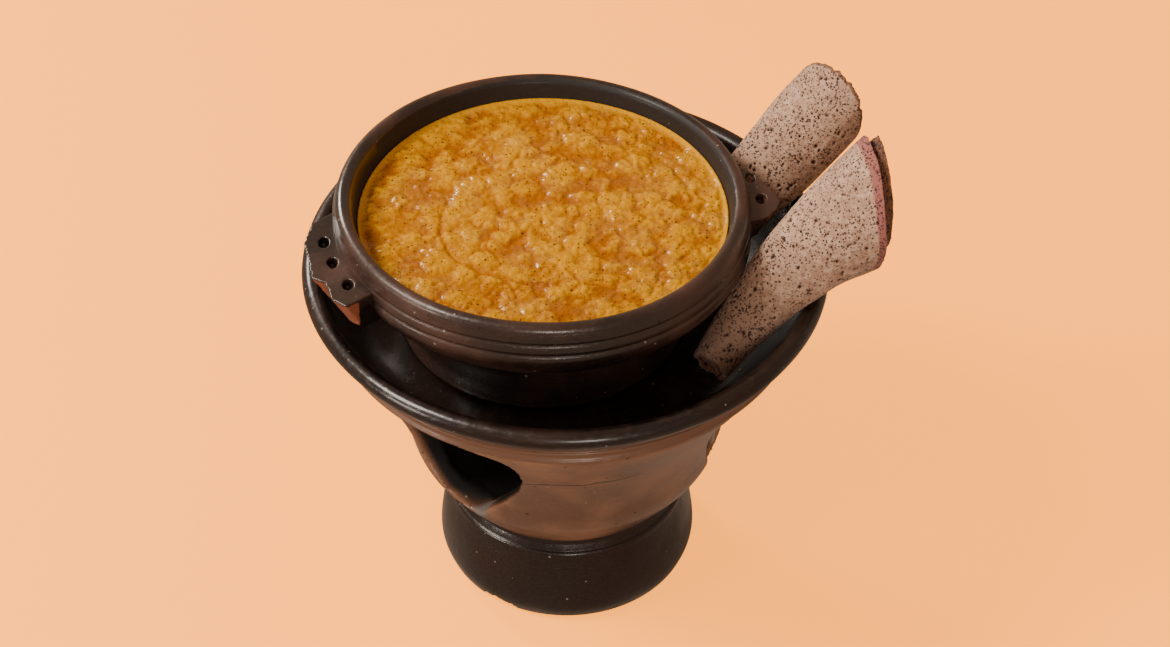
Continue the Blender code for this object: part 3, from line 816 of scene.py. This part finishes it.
@dataclass
class ClayPot:
    """The leaning pot with two pierced lugs and two grooves under its rim."""

    clay: bpy.types.Material
    steps: int = 320
    x: float = -0.0100
    foot: float = 0.1408
    foot_curve: tuple[Point, ...] = ((0.0600, 0.1510), (0.0630, 0.1423), (0.0618, 0.1408))
    belly: tuple[Point, ...] = ((0.0590, 0.1580), (0.0645, 0.1650), (0.0775, 0.1750), (0.0865, 0.1835), (0.0906, 0.1900))
    rim: float = 0.0906
    taper: float = 0.08
    grooves: tuple[float, float] = (0.1950, 0.2003)
    groove_depth: float = 0.0007
    crest: Point = (0.0855, 0.2050)
    crest_tube: float = 0.0035
    inside: tuple[Point, ...] = (
        (0.0280, 0.1615), (0.0400, 0.1630), (0.0620, 0.1690), (0.0745, 0.1800), (0.0795, 0.1925), (0.0812, 0.2000),
    )
    tilt: Point = (-0.0226, -0.0300)
    tilt_from: float = 0.1480
    lug_top: float = 0.1992
    lug_root: float = 0.0860
    lug_taper: float = 0.08
    left_lug: tuple[Point, ...] = (
        (0.0900, 182), (0.1000, 187), (0.1046, 194), (0.1050, 201),
        (0.1078, 206), (0.1035, 209), (0.1066, 215), (0.1045, 219),
    )
    right_lug: tuple[Point, ...] = (
        (0.0895, -3), (0.0983, -1), (0.1016, 1.7), (0.1045, 4.6),
        (0.1016, 10), (0.0985, 15.5), (0.0945, 19.5), (0.0905, 22.5),
    )
    lug_bottoms: tuple[float, float] = (0.1835, 0.1880)
    left_holes: tuple[Point, ...] = ((0.0958, 194.5), (0.0958, 203.0), (0.0958, 212.5))
    right_holes: tuple[Point, ...] = ((0.0958, 6.5), (0.0943, 15.5))
    hole: float = 0.0031

    def lean(self, verts: Iterable) -> None:
        """Tip points of the pot, less and less towards its flat foot."""
        for vert in verts:
            share = smoothstep(self.tilt_from, self.crest[1], vert.co.z)
            vert.co.z += share * (self.tilt[0] * vert.co.x + self.tilt[1] * vert.co.y)

    def build(self) -> list[bpy.types.Object]:
        """Make the pot's body and its two lugs.

        Returns:
            The three pieces.
        """
        pieces = [
            self._body(),
            self._lug("pot_left_lug", self.left_lug, self.left_holes, self.lug_bottoms[0]),
            self._lug("pot_right_lug", self.right_lug, self.right_holes, self.lug_bottoms[1]),
        ]
        return [hand_over(piece, "pot") for piece in pieces]

    def _body(self) -> bpy.types.Object:
        """Turn the body, with wavering grooves."""
        crest = arc(self.crest, self.crest_tube, 172, 5, 20)
        rim: list[Point] = []
        for height in reversed(self.grooves):
            radius = self.rim - self.taper * (height - self.grooves[0])
            for offset, cut in ((0.0016, 0.0), (0.0009, 0.25), (0.0004, 0.85), (-0.0004, 0.85), (-0.0009, 0.25), (-0.0016, 0.0)):
                rim.append((radius - self.groove_depth * cut, height + offset))
        belly = smooth_through(self.belly, 8)[::-1]
        profile = [(0.0, self.inside[0][1]), *smooth_through(self.inside, 8), *crest, *rim, *belly,
                   *smooth_through(self.foot_curve, 4), (0.0, self.foot)]
        bm = turn_on_wheel(profile, self.steps)
        for vert in bm.verts:
            if vert.co.z > self.belly[0][1]:
                vert.co.xy *= 1.0 + 0.0030 * noise.noise(vert.co * 17.0)
                vert.co.z += 0.0005 * noise.noise(vert.co * 21.0 + Vector((3.0, 1.0, 7.0)))
        self.lean(bm.verts)
        bmesh.ops.translate(bm, verts=bm.verts[:], vec=(self.x, 0.0, 0.0))
        body = raise_object("pot_body", bm, self.clay)
        # Painted shade darkens the wall inside the rim.
        mark(body, "painted_shade", self._painted_wall_shade)
        return body

    def _painted_wall_shade(self, place: Vector) -> float:
        """Tell how dark the painted shade makes the clay: on the wall inside the rim."""
        radius = (place.xy - Vector((self.x, 0.0))).length
        wall = [*self.inside, (self.crest[0] - self.crest_tube, self.crest[1] + 0.0010)]
        for (r_low, z_low), (r_high, z_high) in zip(wall, wall[1:]):
            if z_low <= place.z <= z_high:
                inner = r_low + (r_high - r_low) * (place.z - z_low) / (z_high - z_low)
                return 0.85 * smoothstep(0.0030, 0.0015, radius - inner)
        return 0.0

    def _lug(self, name: str, rim: Sequence[Point], holes: Sequence[Point], bottom: float) -> bpy.types.Object:
        """Make one lug: a block with a broken outer face and blind holes in its top.

        Args:
            name: Name of the piece.
            rim: Radius and azimuth of each corner of its outline.
            holes: Radius and azimuth of each hole.
            bottom: Height of its underside.

        Returns:
            The lug.
        """
        first, last = rim[0][1], rim[-1][1]
        root = [polar(self.lug_root - 0.003, turn, self.lug_top) for turn in (last, (first + last) / 2.0, first)]
        outline = [polar(radius, turn, self.lug_top) for radius, turn in rim] + root
        bm = push_outline(outline, Vector((0.0, 0.0, bottom - self.lug_top)))
        for vert in bm.verts:
            if vert.co.z < (self.lug_top + bottom) / 2.0:
                vert.co.xy *= 1.0 - self.lug_taper * smoothstep(self.lug_root, self.lug_root + 0.02, vert.co.xy.length)
        lug = raise_object(name, bm, self.clay)
        cutters = []
        for number, (radius, turn) in enumerate(holes):
            drill = bmesh.new()
            bmesh.ops.create_cone(drill, cap_ends=True, segments=24, radius1=self.hole * 0.75, radius2=self.hole * 1.1,
                                  depth=0.010)
            bmesh.ops.rotate(drill, verts=drill.verts[:], matrix=Euler((0.25, 0.1, 0.0)).to_matrix())
            bmesh.ops.scale(drill, verts=drill.verts[:], vec=(0.85, 1.25, 1.0))
            bmesh.ops.translate(drill, verts=drill.verts[:], vec=polar(radius, turn, self.lug_top))
            cutters.append(raise_object(f"drill_{number}", drill))
        soften(carve(lug, cutters), 0.00055, 3)
        for vert in lug.data.vertices:
            rough = noise.noise(vert.co * 170.0) * 0.0006 + noise.noise(vert.co * 520.0) * 0.0003
            outer = smoothstep(0.092, 0.100, vert.co.xy.length)
            vert.co.xy *= 1.0 + outer * (rough - 0.0004) / vert.co.xy.length
        top = self.lug_top
        mark(lug, "raw", lambda place: smoothstep(0.0960, 0.0985, place.xy.length) * smoothstep(top, top - 0.002, place.z))
        self.lean(lug.data.vertices)
        for vert in lug.data.vertices:
            vert.co.x += self.x
        return lug


@dataclass
class StewFilling:
    """The stew, level in the leaning pot, stirred into grooves and lumps."""

    stew: bpy.types.Material
    pot: ClayPot
    level: float = 0.1962
    gap: float = 0.0001
    cells: int = 280
    rings: tuple[Point, ...] = ((0.0435, 0.0009), (0.0630, 0.0005), (0.0200, 0.0004))
    ring_width: float = 0.0014
    lumps: tuple[Point, ...] = ((120.0, 0.00085), (290.0, 0.00045))

    def _wall(self, height: float) -> float:
        """Give the pot's inner radius at a height of its own, before it leans."""
        points = [*self.pot.inside, (self.pot.crest[0] - self.pot.crest_tube, self.pot.crest[1])]
        for (r_low, z_low), (r_high, z_high) in zip(points, points[1:]):
            if height <= z_high:
                return r_low + (r_high - r_low) * (height - z_low) / (z_high - z_low)
        return points[-1][0]

    def _edge(self, angle: float) -> float:
        """Give the radius where the level stew meets the leaning wall, in one direction."""
        tilt = self.pot.tilt[0] * math.cos(angle) + self.pot.tilt[1] * math.sin(angle)
        share = smoothstep(self.pot.tilt_from, self.pot.crest[1], self.level)
        radius = self._wall(self.level)
        for _ in range(3):
            radius = self._wall(self.level - share * tilt * radius)
        return radius - self.gap

    def _relief(self, place: Vector, radius: float) -> float:
        """Add up the spoon's grooves, the lumps with their cracks, and the grain at a place.

        Args:
            place: Place on the level surface.
            radius: Distance from the pot's middle.

        Returns:
            The height above the level.
        """
        drift = 0.0060 * noise.noise(place * 24.0) + 0.0012 * noise.noise(place * 120.0)
        groove = 0.0
        for ring, depth in self.rings:
            off = (radius + drift - ring) / self.ring_width
            here = smoothstep(-0.10, 0.30, noise.noise(place * 17.0 + Vector((ring * 90.0, 0.0, 0.0))))
            groove -= depth * math.exp(-off * off) * here
        sideways = Vector((noise.noise(place * 160.0), noise.noise(place * 160.0 + Vector((5.0, 5.0, 5.0))), 0.0))
        bent = place + sideways * 0.0022
        lumps = sum(
            height * (0.35 - min(noise.voronoi(bent * scale, exponent=2.5)[0][0], 0.7) ** 2 * 2.6)
            for scale, height in self.lumps
        )
        swell = 0.0006 * noise.noise(place * 46.0 + Vector((4.0, 9.0, 0.0)))
        return groove + lumps + swell + 0.00022 * noise.noise(place * 520.0) + 0.00012 * noise.noise(place * 1100.0)

    def build(self) -> bpy.types.Object:
        """Lay a fine grid into the round pot and raise its relief.

        Returns:
            The stew.
        """
        bm = bmesh.new()
        bmesh.ops.create_grid(bm, x_segments=self.cells, y_segments=self.cells, size=1.0)
        hollow = bm.verts.layers.float.new("hollow")
        rim = bm.verts.layers.float.new("rim")
        for vert in bm.verts:
            u, v = vert.co.x, vert.co.y
            disc = Vector((u * math.sqrt(1.0 - v * v / 2.0), v * math.sqrt(1.0 - u * u / 2.0), 0.0))
            share = min(disc.length, 1.0)
            angle = math.atan2(disc.y, disc.x)
            radius = share * self._edge(angle)
            place = Vector((radius * math.cos(angle), radius * math.sin(angle), 0.0))
            height = self._relief(place, radius) * smoothstep(1.0, 0.95, share)
            vert[hollow] = 0.5 - height / 0.0024
            vert[rim] = smoothstep(0.955, 0.99, share)
            climb = 0.0006 * smoothstep(0.975, 1.0, share)
            vert.co = place + Vector((self.pot.x, 0.0, self.level + height + climb))
        edges = [edge for edge in bm.edges if edge.is_boundary]
        skirt = bmesh.ops.extrude_edge_only(bm, edges=edges)["geom"]
        low = [item for item in skirt if isinstance(item, bmesh.types.BMVert)]
        for vert in low:
            vert.co = Vector((self.pot.x + (vert.co.x - self.pot.x) * 0.93, vert.co.y * 0.93, self.level - 0.008))
        bmesh.ops.contextual_create(bm, geom=[e for e in bm.edges if e.is_boundary])
        bmesh.ops.recalc_face_normals(bm, faces=bm.faces[:])
        return hand_over(raise_object("stew_surface", bm, self.stew), "stew")


@dataclass
class InjeraRoll:
    """A soft sheet wound into an open, tapering tube with pores in its outer face."""

    node: str
    crumb: bpy.types.Material
    low: Vector
    high: Vector
    widths: tuple[float, float, float]
    depths: tuple[float, float, float]
    bow: Point
    slant_low: Point
    slant_high: Point
    stagger: float
    seam: float
    peel: float
    seed: int
    sheet: float = 0.0026
    winding: float = 0.0032
    turns: float = 1.55
    facing: Vector = field(default_factory=lambda: Vector((0.0, -0.755, 0.656)))
    peel_from: float = 0.66
    peel_turn: float = 0.11
    grid: tuple[int, int] = (262, 176)
    outer_columns: float = 0.80
    protrude: float = 0.0026
    band: float = 0.0038
    ragged: Point = (0.0011, 0.0005)
    pores: int = 300
    pore_sizes: Point = (0.00055, 0.00100)

    def __post_init__(self) -> None:
        """Work out the roll's own axes."""
        self.axis = (self.high - self.low).normalized()
        self.near = (self.facing - self.facing.dot(self.axis) * self.axis).normalized()
        self.side = self.axis.cross(self.near)
        self.length = (self.high - self.low).length

    def place(self, wound: float, along: float, lift: float) -> Vector:
        """Find a point of the wound sheet.

        Args:
            wound: Turns from the outer edge of the sheet.
            along: Share of the way from the lower end to the mouth.
            lift: Distance outwards from the middle of the sheet.

        Returns:
            The place.
        """
        middle = self.low - (self.side * self.bow[0] + self.near * self.bow[1]) * 4.0 * along * (1.0 - along)
        angle = math.radians(self.seam) + math.tau * wound
        turned = Vector((math.cos(angle), math.sin(angle), along * 3.0))
        waver = 0.00045 * noise.noise(turned * 1.7 + Vector((self.seed, 0.0, 0.0)))
        peel = self.peel * smoothstep(self.peel_from, 1.0, along) * smoothstep(self.peel_turn, 0.0, wound)
        grow = lift - self.sheet / 2.0 - self.winding * wound + peel + waver
        across = (through_three(self.widths, along) + grow) * math.cos(angle)
        facing = (through_three(self.depths, along) + grow) * math.sin(angle)
        ragged = self.ragged[0] * noise.noise(Vector((wound * 9.0, self.seed, 0.0)))
        ragged += self.ragged[1] * noise.noise(Vector((wound * 47.0, self.seed, 2.0)))
        start = self.slant_low[0] * across + self.slant_low[1] * facing - ragged
        end = self.length + self.slant_high[0] * across + self.slant_high[1] * facing
        end += self.stagger * wound + self.protrude * smoothstep(1.0, 1.45, wound) + ragged
        return middle + self.axis * (start + (end - start) * along) + across * self.side + facing * self.near

    def _pore_tree(self) -> tuple[KDTree, list[float]]:
        """Scatter the wide pores over the outer turn.

        Returns:
            A tree of their places, and the radius of each.
        """
        chance = random.Random(self.seed)
        tree = KDTree(self.pores)
        sizes = []
        for number in range(self.pores):
            wound, along = chance.uniform(0.0, 1.0), chance.uniform(0.01, 0.99)
            if number % 5 == 0:
                wound, along = chance.uniform(1.0, self.turns), chance.uniform(0.93, 0.995)
            tree.insert(self.place(wound, along, self.sheet / 2.0), number)
            sizes.append(self.pore_sizes[0] + (self.pore_sizes[1] - self.pore_sizes[0]) * chance.random() ** 2.5)
        tree.balance()
        return tree, sizes

    def build(self) -> bpy.types.Object:
        """Wind a fine grid into the roll, thicken it and press in its pores.

        Returns:
            The roll.
        """
        bm = bmesh.new()
        bmesh.ops.create_grid(bm, x_segments=self.grid[0], y_segments=self.grid[1], size=0.5)
        layers = {name: bm.verts.layers.float.new(name) for name in ("wound", "along", "inside", "pore", "cut")}
        for vert in bm.verts:
            share = vert.co.x + 0.5
            inner = max(share - self.outer_columns, 0.0) / (1.0 - self.outer_columns)
            vert[layers["wound"]] = min(share / self.outer_columns, 1.0) + (self.turns - 1.0) * inner
            vert[layers["along"]] = vert.co.y + 0.5
        pushed = bmesh.ops.extrude_face_region(bm, geom=bm.faces[:])["geom"]
        for vert in pushed:
            if isinstance(vert, bmesh.types.BMVert):
                vert[layers["inside"]] = 1.0
        tree, sizes = self._pore_tree()
        for vert in bm.verts:
            wound, along, inside = (vert[layers[name]] for name in ("wound", "along", "inside"))
            spot = self.place(wound, along, self.sheet * (0.5 - inside))
            pore = 0.0
            if inside < 0.5:
                for _, number, gap in tree.find_range(spot, self.pore_sizes[1] * 1.2):
                    pore = max(pore, 1.0 - (gap / (sizes[number] * 1.2)) ** 2)
                if pore > 0.0:
                    spot = self.place(wound, along, self.sheet / 2.0 - 0.0011 * pore)
            vert.co = spot
            vert[layers["pore"]] = pore
            near_mouth = smoothstep(1.0 - 1.25 * self.band / self.length, 1.0 - self.band / self.length, along)
            vert[layers["cut"]] = near_mouth * smoothstep(1.04, 1.0, wound)
            # The inside value also places the painted shade: the inner face, the inner turns and the outer end of the
            # sheet near the mouth.
            vert[layers["inside"]] = max(inside, smoothstep(1.0, 1.04, wound), smoothstep(0.045, 0.030, wound) * smoothstep(0.80, 0.90, along))
        bmesh.ops.recalc_face_normals(bm, faces=bm.faces[:])
        return hand_over(raise_object(f"{self.node}_sheet", bm, self.crumb), self.node)


@dataclass(frozen=True)
class Studio:
    """Pale floor, soft lights and the camera at the photo's angle."""

    floor_colour: Colour = (0.95, 0.30, 0.03)
    glow_colour: Colour = (1.0, 0.31, 0.01)
    floor_glow: float = 2.3
    sky_colour: Colour = (1.0, 0.66, 0.46)
    sky_strength: float = 0.42
    eye: tuple[float, float, float] = (0.0085, -0.9835, 1.0420)
    pitch: float = 0.7462
    focal_pixels: float = 3000.0
    image_width: float = 1170.0

    def build(self) -> None:
        """Set up floor, sky, lights and camera."""
        self._floor()
        world = bpy.data.worlds.new("Studio air")
        world.use_nodes = True
        air = world.node_tree.nodes["Background"]
        air.inputs["Color"].default_value = (*self.sky_colour, 1.0)
        air.inputs["Strength"].default_value = self.sky_strength
        bpy.context.scene.world = world
        self._softbox("Key softbox", (-0.85, -0.15, 1.20), 0.45, 18.0)
        self._softbox("Back softbox", (-0.75, 0.90, 0.80), 0.30, 8.0)
        self._softbox("Left softbox", (-1.25, -0.70, 0.40), 0.40, 7.0)
        self._softbox("Front softbox", (0.15, -1.30, 0.60), 0.35, 5.0)
        self._camera()

    def _floor(self) -> None:
        """Lay a wide plain floor."""
        bm = bmesh.new()
        bmesh.ops.create_grid(bm, x_segments=1, y_segments=1, size=4.0)
        material, _, shader = new_finish("Pale floor", {"Roughness": 0.9, "Specular IOR Level": 0.2})
        shader.inputs["Base Color"].default_value = (*self.floor_colour, 1.0)
        shader.inputs["Emission Color"].default_value = (*self.glow_colour, 1.0)
        shader.inputs["Emission Strength"].default_value = self.floor_glow
        floor = raise_object("floor", bm, material)
        floor.visible_diffuse = False
        floor.visible_glossy = False

    @staticmethod
    def _softbox(name: str, place: tuple[float, float, float], size: float, power: float) -> None:
        """Hang a square light that faces the object.

        Args:
            name: Name of the light.
            place: Where it hangs.
            size: Length of its side.
            power: Power in watts.
        """
        light = bpy.data.lights.new(name, "AREA")
        light.size = size
        light.energy = power
        light.color = (1.0, 0.90, 0.80)
        obj = bpy.data.objects.new(name, light)
        obj.location = place
        obj.rotation_euler = (Vector((0.0, 0.0, 0.13)) - Vector(place)).to_track_quat("-Z", "Y").to_euler()
        bpy.context.scene.collection.objects.link(obj)

    def _camera(self) -> None:
        """Place the camera at the photo's viewing angle."""
        camera = bpy.data.cameras.new("Camera")
        camera.sensor_width = 36.0
        camera.lens = self.focal_pixels / self.image_width * camera.sensor_width
        camera.clip_start = 0.01
        obj = bpy.data.objects.new("Camera", camera)
        obj.location = self.eye
        obj.rotation_euler = (math.pi / 2.0 - self.pitch, 0.0, 0.0)
        bpy.context.scene.collection.objects.link(obj)
        bpy.context.scene.camera = obj


def main() -> None:
    """Build every piece in order and note the sizes."""
    logging.basicConfig(level=logging.INFO, format="%(message)s")
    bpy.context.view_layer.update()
    effects = Effects()
    black = BurnishedClay("Black clay of the stand", dark=(0.0045, 0.0025, 0.0020), warm=(0.0240, 0.0110, 0.0078),
                          gloss=0.38, coat=0.80)
    # Painted reflection: the bowl's lighter tan stands for the floor's light on the black clay.
    floor_reflection_clay = BurnishedClay("Stand bowl clay with painted floor reflection", dark=(0.1400, 0.0620, 0.0330), warm=(0.3500, 0.1750, 0.0980),
                        coat=0.25, crack=(-1.815, -1.187, 0.1150, 0.0075))
    ClayStand(black.make(effects), floor_reflection_clay.make(effects)).build()
    pot = ClayPot(BurnishedClay("Black clay of the pot").make(effects))
    pot.build()
    StewFilling(LentilStew().make(effects), pot).build()
    front = InjeraCrumb("Injera crumb front", cut=(0.350, 0.120, 0.098)).make(effects)
    back = InjeraCrumb("Injera crumb back").make(effects)
    InjeraRoll(
        "roll_front", front, Vector((0.0617, -0.0482, 0.1528)), Vector((0.1299, -0.0108, 0.2148)),
        widths=(0.0097, 0.0170, 0.0228), depths=(0.0098, 0.0106, 0.0216), bow=(0.0049, 0.0007),
        slant_low=(0.05, 0.50), slant_high=(-0.73, 0.30), stagger=0.0035, seam=-32.0, peel=0.0030, seed=11,
    ).build()
    InjeraRoll(
        "roll_back", back, Vector((0.0640, 0.0316, 0.1594)), Vector((0.1141, 0.0537, 0.2135)),
        widths=(0.0134, 0.0193, 0.0208), depths=(0.0098, 0.0110, 0.0200), bow=(0.0, 0.0),
        slant_low=(0.0, 0.20), slant_high=(-0.17, 0.93), stagger=0.0025, seam=250.0, peel=0.0, seed=23,
        protrude=0.0, band=0.0009, ragged=(0.0012, 0.0014),
    ).build()
    Studio().build()


if __name__ == "__main__":
    main()
